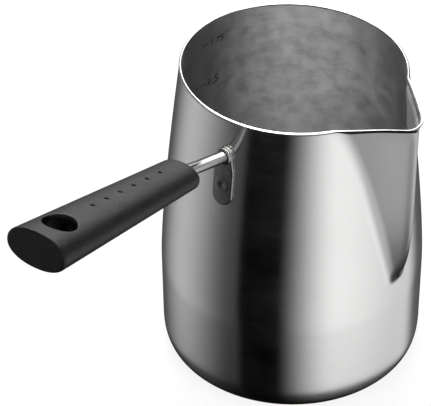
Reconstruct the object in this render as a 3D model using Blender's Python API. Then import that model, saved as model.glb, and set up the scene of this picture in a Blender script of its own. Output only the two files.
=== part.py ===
"""Candle melting pot: a drawn stainless steel pouring pot with one V spout and a moulded grip.

Frame: origin at the centre of the flat base, +Z up. The handle runs out along -Y and rises.
The spout points close to +X. All sizes are in metres.
"""

import math

import bmesh
import bpy
from mathutils import Matrix, Vector

MM = 0.001
GAP = 0.3 * MM

# Pot body
HEIGHT = 160.5 * MM
RIM_RADIUS = 53.9 * MM
BELLY_RADIUS = 65.0 * MM
BELLY_DEPTH = 113.5 * MM
BELLY_CURVE = 1.31
RIM_OVAL = 1.35 * MM
OVAL_TURN = math.radians(-12.0)
OVAL_FADE = 1.5
CORNER_OUT = 10.4 * MM
CORNER_UP = 16.4 * MM
CORNER_SQUARENESS = 3.6
SHEET = 0.9 * MM
LIP_ROUND = 0.25 * MM

# Spout
SPOUT_AZIMUTH = math.radians(-5.0)
SPOUT_REACH = 72.1 * MM
SPOUT_STRAIGHT_DEPTH = 73.0 * MM
SPOUT_FOOT_DEPTH = 94.0 * MM
SPOUT_FOOT_REACH = 64.6 * MM
SPOUT_RUN_START = 40.0 * MM
SPOUT_RUN_BACK = 3.6 * MM
SPOUT_ROLL_START = 64.0 * MM
SPOUT_ROLL_CLEAR = 1.2 * MM
SPOUT_ROLL_BLEND = 1.6 * MM
SPOUT_HALF_ANGLE_RIM = math.radians(45.0)
SPOUT_HALF_ANGLE_FOOT = math.radians(43.2)
SPOUT_HALF_ANGLE_DEPTH = 26.0 * MM
SPOUT_SKEW = math.radians(1.6)
SPOUT_NOSE_BLEND = 5.6 * MM
SPOUT_LIP_BLEND = 15.5 * MM
CREASE_BLEND_RIM = 1.0 * MM
CREASE_BLEND_FOOT = 5.0 * MM
CREASE_BLEND_DEPTH = 60.0 * MM
RIDGE_BLEND = 2.2 * MM
RIDGE_SETBACK = 0.5 * MM
PINCH_DEPTH = 0.55 * MM
PINCH_EDGE = 2.6 * MM
PINCH_REACH = 15.0 * MM
SPOUT_FLARE = 2.5 * MM
SPOUT_FLARE_SPREAD = math.radians(30.0)
SPOUT_FLARE_DEPTH = 3.6 * MM
SPOUT_DIP = 2.0 * MM
SPOUT_DIP_SPREAD = math.radians(9.2)

# Handle line, seen from the side: distances from the pot axis and depths below the rim
NECK_ROOT_DEPTH = 18.2 * MM
NECK_KNEE_OUT = 1.0 * MM
NECK_KNEE_LENGTH = 3.5 * MM
NECK_RADIUS = 3.0 * MM
NECK_IN_GRIP = 23.0 * MM
NECK_TAP_RADIUS = 2.2 * MM
NECK_TAP_DEPTH = 16.0 * MM
GRIP_NEAR_OUT = 88.0 * MM
GRIP_NEAR_DEPTH = 8.0 * MM
GRIP_RISE = math.radians(13.2)
GRIP_LENGTH = 103.6 * MM
GRIP_NEAR_HALF = (10.4 * MM, 6.1 * MM)
GRIP_FAR_HALF = (15.4 * MM, 8.4 * MM)
GRIP_SQUARENESS = 2.2
GRIP_NEAR_ROUND = 3.0 * MM
GRIP_FAR_ROUND = 1.2 * MM

# Hanging hole and the row of dimples
HANG_FROM_END = 15.0 * MM
HANG_HALF_ACROSS = 7.7 * MM
HANG_HALF_ALONG = 6.2 * MM
DIMPLE_COUNT = 6
DIMPLE_FIRST = 18.7 * MM
DIMPLE_PITCH = 9.6 * MM
DIMPLE_RADIUS = 1.0 * MM
DIMPLE_DEPTH = 0.5 * MM

# Bracket plate
PLATE_WIDTH = 11.2 * MM
PLATE_EAR_RADIUS = 4.2 * MM
PLATE_SHOULDER_DEPTH = 27.0 * MM
PLATE_FOOT_DEPTH = 44.0 * MM
PLATE_SHEET = 1.2 * MM
WELD_DEPTH = 33.2 * MM
WELD_RADIUS = 1.6 * MM
WELD_SINK = 0.35 * MM
BEAD_WIDTH = 1.0 * MM
BEAD_HEIGHT = 1.2 * MM

# Grip screw and its washer
SCREW_RADIUS = 1.9 * MM
SCREW_TIP_IN = 12.0 * MM
HEAD_RADIUS = 3.5 * MM
HEAD_HEIGHT = 2.4 * MM
HEAD_POCKET_RADIUS = 4.1 * MM
HEAD_POCKET_DEPTH = 5.5 * MM
WASHER_THICKNESS = 0.8 * MM
WASHER_HOLE = 2.2 * MM
SLOT_WIDTH = 0.9 * MM
SLOT_DEPTH = 1.0 * MM


def clear_scene():
    for item in list(bpy.data.objects):
        bpy.data.objects.remove(item, do_unlink=True)


def make_material(name, colour, metallic, roughness):
    material = bpy.data.materials.new(name)
    material.use_nodes = True
    shader = material.node_tree.nodes["Principled BSDF"]
    shader.inputs["Base Color"].default_value = (*colour, 1.0)
    shader.inputs["Metallic"].default_value = metallic
    shader.inputs["Roughness"].default_value = roughness
    return material


def add_object(name, bm, material, smooth_angle=math.radians(35)):
    mesh = bpy.data.meshes.new(name)
    bmesh.ops.recalc_face_normals(bm, faces=bm.faces)
    bm.to_mesh(mesh)
    bm.free()
    mesh.shade_smooth()
    mesh.set_sharp_from_angle(angle=smooth_angle)
    mesh.materials.append(material)
    item = bpy.data.objects.new(name, mesh)
    bpy.context.scene.collection.objects.link(item)
    return item


def add_cutter(name, bm, target):
    """A hidden solid that is cut out of the target."""
    mesh = bpy.data.meshes.new(name)
    bmesh.ops.recalc_face_normals(bm, faces=bm.faces)
    bm.to_mesh(mesh)
    bm.free()
    cutter = bpy.data.objects.new(name, mesh)
    bpy.context.scene.collection.objects.link(cutter)
    cutter.hide_render = True
    cutter.display_type = "WIRE"
    cut = target.modifiers.new(name, "BOOLEAN")
    cut.operation = "DIFFERENCE"
    cut.solver = "EXACT"
    cut.object = cutter
    return cutter


def smooth_max(a, b, blend):
    overlap = max(blend - abs(a - b), 0.0) / blend
    return max(a, b) + overlap * overlap * blend / 4.0


def smooth_min(a, b, blend):
    return -smooth_max(-a, -b, blend)


def mix(a, b, share):
    return a + (b - a) * min(max(share, 0.0), 1.0)


# ---------------------------------------------------------------- pot body

def smooth_step(share):
    t = min(max(share, 0.0), 1.0)
    return t * t * (3.0 - 2.0 * t)


def wall_radius(depth):
    """Outer radius of the round wall at a depth below the rim, above the bottom corner."""
    share = min(max(depth / BELLY_DEPTH, 0.0), 1.0)
    return RIM_RADIUS + (BELLY_RADIUS - RIM_RADIUS) * (1.0 - (1.0 - share) ** BELLY_CURVE)


def round_radius(angle, depth):
    """The wall's radius at an angle from the spout: the forming leaves the rim a little oval."""
    share = min(max(depth / BELLY_DEPTH, 0.0), 1.0)
    oval = RIM_OVAL * (1.0 - share) ** OVAL_FADE
    return wall_radius(depth) + oval * math.cos(2.0 * (angle - OVAL_TURN))


HANDLE_ANGLE = -math.pi / 2.0 - SPOUT_AZIMUTH


def wall_tilt(depth):
    """Angle by which the wall's outward normal leans up on the handle side."""
    step = 0.5 * MM
    run = round_radius(HANDLE_ANGLE, depth + step) - round_radius(HANDLE_ANGLE, depth - step)
    return math.atan2(run, 2.0 * step)


def lip_flare(depth):
    """1 at the rim, easing to 0 where the turned-out lip ends."""
    return max(1.0 - depth / SPOUT_FLARE_DEPTH, 0.0) ** 2


def run_down(depth, start):
    """0 above a starting depth, rising to 1 at the spout's foot."""
    return max(depth - start, 0.0) / (SPOUT_FOOT_DEPTH - start)


def roll_radius(depth):
    """Radius of the surface that rolls the spout's ridge back into the wall at its foot."""
    clear = SPOUT_REACH + SPOUT_ROLL_CLEAR
    return clear - (clear - SPOUT_FOOT_REACH) * run_down(depth, SPOUT_ROLL_START) ** 2


def pinch(arc):
    """How far a flank sinks beside the ridge, at a distance from the ridge."""
    return PINCH_DEPTH * (1.0 - math.exp(-((arc / PINCH_EDGE) ** 2))) * math.exp(-((arc / PINCH_REACH) ** 2))


def wedge_radius(angle, depth, inset=0.0):
    """Radius of the V at an angle from the spout: two flanks that meet in a pinched ridge."""
    flare = lip_flare(depth)
    nose_blend = mix(RIDGE_BLEND, SPOUT_LIP_BLEND, flare)
    sharp_nose = SPOUT_REACH + SPOUT_NOSE_BLEND / 4.0
    sharp_nose -= mix(RIDGE_SETBACK, 0.0, flare) + SPOUT_RUN_BACK * run_down(depth, SPOUT_RUN_START) ** 2
    lip = SPOUT_FLARE * flare * math.exp(-((angle / SPOUT_FLARE_SPREAD) ** 4))
    sink = pinch(abs(angle) * SPOUT_REACH * 1.35) * (1.0 - flare) * smooth_step(depth / (12.0 * MM))
    opening = smooth_step(depth / SPOUT_HALF_ANGLE_DEPTH)

    def flank_radius(side):
        half_angle = mix(SPOUT_HALF_ANGLE_RIM, SPOUT_HALF_ANGLE_FOOT, opening) - side * SPOUT_SKEW
        flank = sharp_nose * math.sin(half_angle) + lip - inset - sink
        turn = math.pi / 2.0 - half_angle - side * angle
        return flank / math.cos(turn) if turn > 0.0 else flank * math.cos(turn) ** 4

    far = flank_radius(1.0)
    near = flank_radius(-1.0)
    across_nose = abs(angle) < math.pi / 2.0 - SPOUT_HALF_ANGLE_RIM
    wedge = smooth_min(far, near, nose_blend) if across_nose else min(far, near)
    return smooth_min(wedge, roll_radius(depth) - inset, SPOUT_ROLL_BLEND)


def outline_radius(angle, depth, inset=0.0):
    """Radius of the horizontal outline at an angle from the spout: a circle joined to a V."""
    blend = mix(CREASE_BLEND_RIM, CREASE_BLEND_FOOT, depth / CREASE_BLEND_DEPTH)
    return smooth_max(round_radius(angle, depth) - inset, wedge_radius(angle, depth, inset), blend)


def rim_drop(angle):
    """How far the rim dips at the spout's nose."""
    return SPOUT_DIP * math.exp(-((angle / SPOUT_DIP_SPREAD) ** 2))


def spout_columns():
    """Angles from the spout, close together across it and even round the rest."""
    fine = math.radians(36.0)
    fine_count = 32
    coarse_count = 44
    angles = [-fine + 2.0 * fine * i / fine_count for i in range(fine_count)]
    rest = 2.0 * math.pi - 2.0 * fine
    angles += [fine + rest * i / coarse_count for i in range(coarse_count)]
    return angles


def wall_point(angle, depth, inset):
    """A point on the wall, where inset 0 is the outside and SHEET the inside."""
    signed = (angle + math.pi) % (2.0 * math.pi) - math.pi
    radius = outline_radius(signed, depth, inset)
    z = HEIGHT - depth - rim_drop(signed) * max(1.0 - depth / SPOUT_STRAIGHT_DEPTH, 0.0)
    turn = angle + SPOUT_AZIMUTH
    return Vector((radius * math.cos(turn), radius * math.sin(turn), z))


def corner_points(angle, inset, steps):
    """The rounded bottom corner below the wall, down to the flat."""
    turn = angle + SPOUT_AZIMUTH
    out = CORNER_OUT - inset
    up = CORNER_UP - inset
    power = 2.0 / CORNER_SQUARENESS
    points = []
    for i in range(1, steps + 1):
        a = math.pi / 2.0 * i / steps
        r = BELLY_RADIUS - inset - out * (1.0 - math.cos(a) ** power if i < steps else 1.0)
        z = CORNER_UP - up * math.sin(a) ** power
        points.append(Vector((r * math.cos(turn), r * math.sin(turn), z)))
    return points


def wall_depths(last):
    """Depths of the rings down the wall, closer where the lip flares and the spout ends."""
    shares = [0.0, 0.012, 0.03, 0.09, 0.18, 0.29, 0.40, 0.49, 0.56, 0.61, 0.66, 0.70, 0.78, 0.88, 1.0]
    return [last * s for s in shares]


def build_pot_body(material):
    bm = bmesh.new()
    corner_steps = 7
    last = HEIGHT - CORNER_UP - LIP_ROUND
    rings = []
    for angle in spout_columns():
        column = [wall_point(angle, d + LIP_ROUND, 0.0) for d in wall_depths(last)]
        column += corner_points(angle, 0.0, corner_steps)
        inner = [wall_point(angle, d + LIP_ROUND, SHEET) for d in wall_depths(last)]
        inner += corner_points(angle, SHEET, corner_steps)
        lip = [wall_point(angle, 0.0, SHEET - LIP_ROUND), wall_point(angle, 0.0, LIP_ROUND)]
        rings.append([bm.verts.new(p) for p in list(reversed(inner)) + lip + column])
    count = len(rings)
    for i in range(count):
        here, there = rings[i], rings[(i + 1) % count]
        for j in range(len(here) - 1):
            bm.faces.new((here[j], here[j + 1], there[j + 1], there[j]))
    for end, z in ((0, SHEET), (-1, 0.0)):
        centre = bm.verts.new((0.0, 0.0, z))
        edge = [ring[end] for ring in rings]
        for i in range(count):
            bm.faces.new((edge[i], edge[(i + 1) % count], centre))
    return add_object("pot_body", bm, material)


# ---------------------------------------------------------------- bracket plate

def plate_point(across, depth, lift):
    """A point over the round wall on the handle side: along the wall, down it and off it."""
    turn = -math.pi / 2.0 + across / wall_radius(depth)
    radius = round_radius(turn - SPOUT_AZIMUTH, depth) + lift
    return Vector((radius * math.cos(turn), radius * math.sin(turn), HEIGHT - depth))


def plate_half_width(depth):
    """Half width of the plate: a round ear behind the rod, shoulders, then a round foot."""
    half = PLATE_WIDTH / 2.0
    foot = PLATE_FOOT_DEPTH - depth
    if foot < half:
        return math.sqrt(max(half * half - (half - foot) ** 2, 0.0))
    below = depth - NECK_ROOT_DEPTH
    if below < 0.0:
        return math.sqrt(max(PLATE_EAR_RADIUS**2 - below**2, 0.0))
    share = min(below / (PLATE_SHOULDER_DEPTH - NECK_ROOT_DEPTH), 1.0)
    return mix(PLATE_EAR_RADIUS, half, share * share * (3.0 - 2.0 * share))


def plate_depths():
    """Depths of the plate's rows: round ear, shoulders, straight, round foot."""
    half = PLATE_WIDTH / 2.0
    ear = [math.radians(a) for a in (80, 60, 40, 20, 0)]
    depths = [NECK_ROOT_DEPTH - PLATE_EAR_RADIUS * math.sin(a) for a in ear]
    depths += [mix(NECK_ROOT_DEPTH, PLATE_SHOULDER_DEPTH, i / 4) for i in range(1, 5)]
    depths += [WELD_DEPTH + d * MM for d in (-3.2, -1.6, 0.0, 1.6, 3.2)]
    foot = [math.radians(a) for a in (0, 20, 40, 60, 80)]
    depths += [PLATE_FOOT_DEPTH - half + half * math.sin(a) for a in foot]
    return depths


def weld_sink(across, depth):
    """How deep the spot weld's pressed mark is at a point of the plate."""
    off = math.hypot(across, depth - WELD_DEPTH) / (2.0 * WELD_RADIUS)
    return WELD_SINK * max(1.0 - off * off, 0.0)


def build_bracket(material):
    bm = bmesh.new()
    columns = 8
    depths = plate_depths()
    sides = []
    for lift in (GAP, GAP + PLATE_SHEET):
        rows = []
        for depth in depths:
            row = []
            for i in range(columns + 1):
                across = plate_half_width(depth) * (2.0 * i / columns - 1.0)
                sink = weld_sink(across, depth) if lift > GAP else 0.0
                row.append(bm.verts.new(plate_point(across, depth, lift - sink)))
            rows.append(row)
        sides.append(rows)
    for rows in sides:
        for j in range(len(depths) - 1):
            for i in range(columns):
                bm.faces.new((rows[j][i], rows[j][i + 1], rows[j + 1][i + 1], rows[j + 1][i]))
    back, front = sides
    last = len(depths) - 1
    for j in range(last):
        for i in (0, columns):
            bm.faces.new((back[j][i], back[j + 1][i], front[j + 1][i], front[j][i]))
    for j in (0, last):
        for i in range(columns):
            bm.faces.new((back[j][i], back[j][i + 1], front[j][i + 1], front[j][i]))
    return add_object("handle_bracket", bm, material)


# ---------------------------------------------------------------- neck rod and weld

def side_point(out, depth):
    """A point in the handle's upright middle plane."""
    return Vector((0.0, -out, HEIGHT - depth))


def direction(rise):
    """The way out along the handle at a given rise."""
    return Vector((0.0, -math.cos(rise), math.sin(rise)))


GRIP_NEAR = side_point(GRIP_NEAR_OUT, GRIP_NEAR_DEPTH)
GRIP_DIRECTION = direction(GRIP_RISE)
GRIP_UP = Vector((0.0, math.sin(GRIP_RISE), math.cos(GRIP_RISE)))
ACROSS = Vector((1.0, 0.0, 0.0))


def neck_root():
    """Centre of the rod's foot, one gap off the plate's face."""
    lift = GAP + PLATE_SHEET + GAP
    tilt = wall_tilt(NECK_ROOT_DEPTH)
    face = side_point(round_radius(HANDLE_ANGLE, NECK_ROOT_DEPTH), NECK_ROOT_DEPTH)
    return face + direction(tilt) * lift


def ring_on_plane(centre, along, normal, radius, count):
    """A circle round the line along, slid along that line on to the plane through centre."""
    up = ACROSS.cross(along).normalized()
    points = []
    for i in range(count):
        a = 2.0 * math.pi * i / count
        offset = ACROSS * (radius * math.cos(a)) + up * (radius * math.sin(a))
        points.append(centre + offset - along * (offset.dot(normal) / along.dot(normal)))
    return points


def skin_rings(bm, rings, closed=False, capped=True):
    """Quads between successive rings, with flat caps or joined end to end."""
    loops = [[bm.verts.new(p) for p in ring] for ring in rings]
    pairs = list(zip(loops, loops[1:]))
    if closed:
        pairs.append((loops[-1], loops[0]))
    for here, there in pairs:
        for i in range(len(here)):
            k = (i + 1) % len(here)
            bm.faces.new((here[i], here[k], there[k], there[i]))
    if capped and not closed:
        bm.faces.new(list(reversed(loops[0])))
        bm.faces.new(loops[-1])


def neck_knee():
    """Where the rod's two straight runs cross, just outside the grip."""
    return GRIP_NEAR - GRIP_DIRECTION * NECK_KNEE_OUT


def neck_direction():
    """The way from the rod's foot to the knee."""
    return (neck_knee() - neck_root()).normalized()


def neck_path():
    """Centres and directions of the rod: straight from the plate, bent, then in line with the grip."""
    root = neck_root()
    first = neck_direction()
    knee = neck_knee()
    start = knee - first * NECK_KNEE_LENGTH
    end = knee + GRIP_DIRECTION * NECK_KNEE_LENGTH
    centres = [root, (root + start) / 2.0, start]
    ways = [first, first, first]
    steps = 4
    for i in range(1, steps + 1):
        t = i / steps
        centres.append(start.lerp(knee, t).lerp(knee.lerp(end, t), t))
        ways.append(first.lerp(GRIP_DIRECTION, t).normalized())
    centres.append(GRIP_NEAR + GRIP_DIRECTION * NECK_IN_GRIP)
    ways.append(GRIP_DIRECTION)
    return centres, ways


def build_neck_rod(material):
    bm = bmesh.new()
    count = 24
    centres, ways = neck_path()
    rings = []
    for i, (centre, way) in enumerate(zip(centres, ways)):
        plane = direction(wall_tilt(NECK_ROOT_DEPTH)) if i == 0 else way
        rings.append(ring_on_plane(centre, way, plane, NECK_RADIUS, count))
    tail = centres[-1]
    floor = tail - GRIP_DIRECTION * NECK_TAP_DEPTH
    rings.append(ring_on_plane(tail, GRIP_DIRECTION, GRIP_DIRECTION, NECK_TAP_RADIUS, count))
    rings.append(ring_on_plane(floor, GRIP_DIRECTION, GRIP_DIRECTION, NECK_TAP_RADIUS, count))
    skin_rings(bm, rings)
    return add_object("neck_rod", bm, material)


def build_neck_weld(material):
    """A fillet bead round the rod's foot."""
    bm = bmesh.new()
    count = 24
    along = neck_direction()
    normal = direction(wall_tilt(NECK_ROOT_DEPTH))
    root = neck_root()
    inner = NECK_RADIUS + GAP
    section = []
    for out, rise in ((0.0, 0.0), (BEAD_WIDTH, 0.0), (BEAD_WIDTH * 0.75, BEAD_HEIGHT * 0.45)):
        section.append((inner + out, rise))
    section.append((inner + BEAD_WIDTH * 0.35, BEAD_HEIGHT * 0.85))
    section.append((inner, BEAD_HEIGHT))
    rings = []
    for radius, rise in section:
        rings.append(ring_on_plane(root + along * rise, along, normal, radius, count))
    skin_rings(bm, rings, closed=True)
    return add_object("neck_weld", bm, material)


# ---------------------------------------------------------------- grip

def grip_half(share):
    """Half width and half thickness of the grip at a share of its length."""
    return tuple(mix(near, far, share) for near, far in zip(GRIP_NEAR_HALF, GRIP_FAR_HALF))


def grip_point(along, across, up):
    return GRIP_NEAR + GRIP_DIRECTION * along + ACROSS * across + GRIP_UP * up


def grip_section(along, shrink, count):
    """An oval a little squarer than an ellipse, shrunk towards the ends."""
    half_width, half_thick = grip_half(along / GRIP_LENGTH)
    power = 2.0 / GRIP_SQUARENESS
    points = []
    for i in range(count):
        a = 2.0 * math.pi * i / count
        c, s = math.cos(a), math.sin(a)
        x = math.copysign(abs(c) ** power, c) * (half_width - shrink)
        y = math.copysign(abs(s) ** power, s) * (half_thick - shrink)
        points.append(grip_point(along, x, y))
    return points


def round_end(length, radius, steps, far):
    """Places and shrinks of the sections that round an end of the grip."""
    pairs = []
    for i in range(steps + 1):
        a = math.pi / 2.0 * i / steps
        inward = radius * (1.0 - math.sin(a))
        shrink = radius * (1.0 - math.cos(a))
        pairs.append((length - inward, shrink) if far else (inward, shrink))
    return pairs if far else list(reversed(pairs))


def straight_cutter(start, end, radius, count=24):
    """A round cutting bar between two distances along the grip axis."""
    bm = bmesh.new()
    rings = []
    for along in (start, end):
        centre = GRIP_NEAR + GRIP_DIRECTION * along
        rings.append(ring_on_plane(centre, GRIP_DIRECTION, GRIP_DIRECTION, radius, count))
    skin_rings(bm, rings)
    return bm


def hang_cutter():
    """The hanging hole: an oval bar square to the grip."""
    bm = bmesh.new()
    count = 32
    middle = GRIP_LENGTH - HANG_FROM_END
    rings = []
    for up in (-14.0 * MM, 14.0 * MM):
        ring = []
        for i in range(count):
            a = 2.0 * math.pi * i / count
            along = middle + HANG_HALF_ALONG * math.cos(a)
            ring.append(grip_point(along, HANG_HALF_ACROSS * math.sin(a), up))
        rings.append(ring)
    skin_rings(bm, rings)
    return bm


def dimple_cutter():
    """Small domes along the top of the grip, as one group."""
    bm = bmesh.new()
    for i in range(DIMPLE_COUNT):
        along = DIMPLE_FIRST + DIMPLE_PITCH * i
        crest = grip_half(along / GRIP_LENGTH)[1]
        centre = grip_point(along, 0.0, crest + DIMPLE_RADIUS - DIMPLE_DEPTH)
        place = Matrix.Translation(centre)
        bmesh.ops.create_icosphere(bm, subdivisions=2, radius=DIMPLE_RADIUS, matrix=place)
    return bm


def build_grip(material):
    bm = bmesh.new()
    count = 40
    stations = round_end(GRIP_LENGTH, GRIP_NEAR_ROUND, 4, far=False)
    stations += [(GRIP_LENGTH * s, 0.0) for s in (0.25, 0.5, 0.75)]
    stations += round_end(GRIP_LENGTH, GRIP_FAR_ROUND, 3, far=True)
    skin_rings(bm, [grip_section(along, shrink, count) for along, shrink in stations])
    grip = add_object("handle_grip", bm, material)
    seat = hole_wall() - HEAD_POCKET_DEPTH
    socket_end = NECK_IN_GRIP + GAP
    add_cutter("socket_cutter", straight_cutter(-5.0 * MM, socket_end, NECK_RADIUS + GAP), grip)
    add_cutter("bore_cutter", straight_cutter(socket_end - 1.0 * MM, seat + 1.0 * MM, WASHER_HOLE), grip)
    add_cutter("pocket_cutter", straight_cutter(seat, hole_wall() + 4.0 * MM, HEAD_POCKET_RADIUS), grip)
    add_cutter("hang_cutter", hang_cutter(), grip)
    add_cutter("dimple_cutter", dimple_cutter(), grip)
    return grip


# ---------------------------------------------------------------- grip screw and washer

def hole_wall():
    """Distance along the grip of the hanging hole's wall on the pot side."""
    return GRIP_LENGTH - HANG_FROM_END - HANG_HALF_ALONG


def turned_piece(profile, count):
    """A solid turned about the grip axis from (distance along, radius) pairs."""
    bm = bmesh.new()
    rings = []
    for along, radius in profile:
        centre = GRIP_NEAR + GRIP_DIRECTION * along
        rings.append(ring_on_plane(centre, GRIP_DIRECTION, GRIP_DIRECTION, radius, count))
    return bm, rings


def build_washer(material):
    seat = hole_wall() - HEAD_POCKET_DEPTH + GAP
    far = seat + WASHER_THICKNESS
    profile = [(seat, WASHER_HOLE), (seat, HEAD_RADIUS), (far, HEAD_RADIUS), (far, WASHER_HOLE)]
    bm, rings = turned_piece(profile, 24)
    skin_rings(bm, rings, closed=True)
    return add_object("screw_washer", bm, material)


def build_screw(material):
    under_head = hole_wall() - HEAD_POCKET_DEPTH + GAP + WASHER_THICKNESS + GAP
    top = under_head + HEAD_HEIGHT
    crown = 0.6 * MM
    profile = [
        (SCREW_TIP_IN, SCREW_RADIUS * 0.6),
        (SCREW_TIP_IN + 1.0 * MM, SCREW_RADIUS),
        (under_head, SCREW_RADIUS),
        (under_head, HEAD_RADIUS),
        (top - crown, HEAD_RADIUS),
        (top, HEAD_RADIUS - crown),
    ]
    bm, rings = turned_piece(profile, 24)
    skin_rings(bm, rings)
    screw = add_object("grip_screw", bm, material)
    slot = bmesh.new()
    rotation = Matrix((ACROSS, GRIP_DIRECTION, GRIP_UP)).transposed().to_4x4()
    place = Matrix.Translation(GRIP_NEAR + GRIP_DIRECTION * top) @ rotation
    size = Matrix.Diagonal((3.0 * HEAD_RADIUS, 2.0 * SLOT_DEPTH, SLOT_WIDTH, 1.0))
    bmesh.ops.create_cube(slot, size=1.0, matrix=place @ size)
    add_cutter("slot_cutter", slot, screw)
    return screw


def main():
    clear_scene()
    polished = make_material("polished_steel", (0.62, 0.62, 0.62), 1.0, 0.18)
    bright = make_material("bright_steel", (0.72, 0.72, 0.72), 1.0, 0.15)
    bead = make_material("weld_steel", (0.5, 0.5, 0.5), 1.0, 0.4)
    phenolic = make_material("black_phenolic", (0.02, 0.02, 0.021), 0.0, 0.45)
    zinc = make_material("black_zinc", (0.16, 0.16, 0.17), 1.0, 0.35)
    build_pot_body(polished)
    build_bracket(bright)
    build_neck_weld(bead)
    build_neck_rod(bright)
    build_grip(phenolic)
    build_washer(zinc)
    build_screw(zinc)


main()
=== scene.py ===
"""Looks for the candle melting pot: fine surfaces, finishes, camera and studio light.

The frame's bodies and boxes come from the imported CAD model. All sizes are in metres.
"""

import math

import bmesh
import bpy
from mathutils import Matrix, Vector, noise


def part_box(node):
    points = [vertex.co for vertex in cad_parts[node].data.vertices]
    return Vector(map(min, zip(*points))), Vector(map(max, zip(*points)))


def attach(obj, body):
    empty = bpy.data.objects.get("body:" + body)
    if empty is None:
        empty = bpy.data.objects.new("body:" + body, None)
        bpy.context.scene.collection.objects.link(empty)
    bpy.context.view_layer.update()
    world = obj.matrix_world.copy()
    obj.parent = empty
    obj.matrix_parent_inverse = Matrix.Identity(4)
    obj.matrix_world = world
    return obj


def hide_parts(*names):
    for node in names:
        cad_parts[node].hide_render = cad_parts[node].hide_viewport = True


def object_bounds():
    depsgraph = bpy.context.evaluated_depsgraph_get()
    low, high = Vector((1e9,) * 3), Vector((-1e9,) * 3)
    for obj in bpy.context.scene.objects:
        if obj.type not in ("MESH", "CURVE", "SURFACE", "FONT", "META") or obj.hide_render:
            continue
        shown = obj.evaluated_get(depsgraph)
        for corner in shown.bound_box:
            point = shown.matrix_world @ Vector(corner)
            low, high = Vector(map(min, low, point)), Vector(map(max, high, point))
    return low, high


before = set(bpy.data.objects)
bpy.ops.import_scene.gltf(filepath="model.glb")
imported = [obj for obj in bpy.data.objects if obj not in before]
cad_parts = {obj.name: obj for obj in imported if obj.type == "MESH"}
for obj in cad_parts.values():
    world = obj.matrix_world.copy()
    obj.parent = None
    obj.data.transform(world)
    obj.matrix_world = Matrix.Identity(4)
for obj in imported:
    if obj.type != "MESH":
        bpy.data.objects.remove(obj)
cad_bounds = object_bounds()

MM = 0.001
GAP = 0.3 * MM

# ---------------------------------------------------------------- sizes read from the frame

pot_low, pot_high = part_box("pot_body")
HEIGHT = pot_high.z - pot_low.z
BELLY_RADIUS = -pot_low.x

# Pot body
RIM_RADIUS = 53.9 * MM
BELLY_DEPTH = 113.5 * MM
BELLY_CURVE = 1.31
BELLY_EASE = 0.05
RIM_OVAL = 1.35 * MM
OVAL_TURN = math.radians(-12.0)
OVAL_FADE = 1.5
CORNER_OUT = 10.4 * MM
CORNER_UP = 16.4 * MM
CORNER_SQUARENESS = 3.6
SHEET = 0.9 * MM
LIP_BEAD = 0.68 * MM
BASE_RING = 7.0 * MM
BASE_RECESS = 0.5 * MM

# Spout
SPOUT_AZIMUTH = math.radians(-5.0)
SPOUT_REACH = 72.1 * MM
SPOUT_STRAIGHT_DEPTH = 73.0 * MM
SPOUT_FOOT_DEPTH = 94.0 * MM
SPOUT_FOOT_REACH = 64.6 * MM
SPOUT_RUN_START = 40.0 * MM
SPOUT_RUN_BACK = 3.6 * MM
SPOUT_ROLL_START = 64.0 * MM
SPOUT_ROLL_CLEAR = 1.2 * MM
SPOUT_ROLL_BLEND = 3.0 * MM
SPOUT_HALF_ANGLE_DEPTH = 60.0 * MM
SPOUT_HALF_ANGLE_RIM = math.radians(45.0)
SPOUT_HALF_ANGLE_FOOT = math.radians(44.1)
SPOUT_SKEW = math.radians(1.6)
SPOUT_NOSE_BLEND = 5.6 * MM
SPOUT_LIP_BLEND = 15.5 * MM
CREASE_BLEND_RIM = 0.6 * MM
CREASE_BLEND_FOOT = 2.6 * MM
CREASE_BLEND_DEPTH = 60.0 * MM
RIDGE_BLEND = 2.2 * MM
RIDGE_SETBACK = 0.5 * MM
PINCH_DEPTH = 0.38 * MM
PINCH_EDGE = 2.6 * MM
PINCH_REACH = 15.0 * MM
PINCH_SPREAD = 1.35
PINCH_TOP = 12.0 * MM
# Mask of the painted shade on the spout's flanks: how far outside the round wall it starts, and how far it
# fades.
FLANK_SHADE_OUTSIDE = 1.6 * MM
FLANK_SHADE_FADE = 2.2 * MM
SPOUT_FLARE = 2.5 * MM
SPOUT_FLARE_SPREAD = math.radians(30.0)
SPOUT_FLARE_DEPTH = 3.6 * MM
SPOUT_DIP = 2.0 * MM
SPOUT_DIP_SPREAD = math.radians(9.2)

# Handle line
NECK_ROOT_DEPTH = 18.2 * MM
NECK_KNEE_OUT = 1.0 * MM
NECK_KNEE_LENGTH = 3.5 * MM
NECK_RADIUS = 3.0 * MM
NECK_IN_GRIP = 23.0 * MM
GRIP_NEAR_OUT = 88.0 * MM
GRIP_NEAR_DEPTH = 8.0 * MM
GRIP_RISE = math.radians(13.2)
GRIP_LENGTH = 103.6 * MM
GRIP_NEAR_HALF = (10.4 * MM, 6.1 * MM)
GRIP_FAR_HALF = (15.4 * MM, 8.4 * MM)
GRIP_SQUARENESS = 2.2
GRIP_NEAR_ROUND = 3.0 * MM
GRIP_FAR_ROUND = 1.2 * MM
HANG_FROM_END = 15.0 * MM
HANG_HALF_ACROSS = 7.7 * MM
HANG_HALF_ALONG = 6.2 * MM
# The hole's flare: (height above the middle, growth), drawn for a grip this thick each way.
HANG_FLARE_THICK = 8.1 * MM
HANG_FLARE = (
    (14.0 * MM, 1.6 * MM), (8.6 * MM, 1.6 * MM), (7.9 * MM, 0.75 * MM), (7.0 * MM, 0.2 * MM),
    (6.0 * MM, 0.0),
)
DIMPLE_COUNT = 6
DIMPLE_FIRST = 18.7 * MM
DIMPLE_PITCH = 9.6 * MM
DIMPLE_RADIUS = 1.0 * MM
DIMPLE_DEPTH = 0.75 * MM
DIMPLE_EDGE = 0.14 * MM
POCKET_RADIUS = 4.1 * MM
POCKET_DEPTH = 5.5 * MM
SCREW_BORE = 2.2 * MM
GRIP_VOXEL = 0.32 * MM

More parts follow.
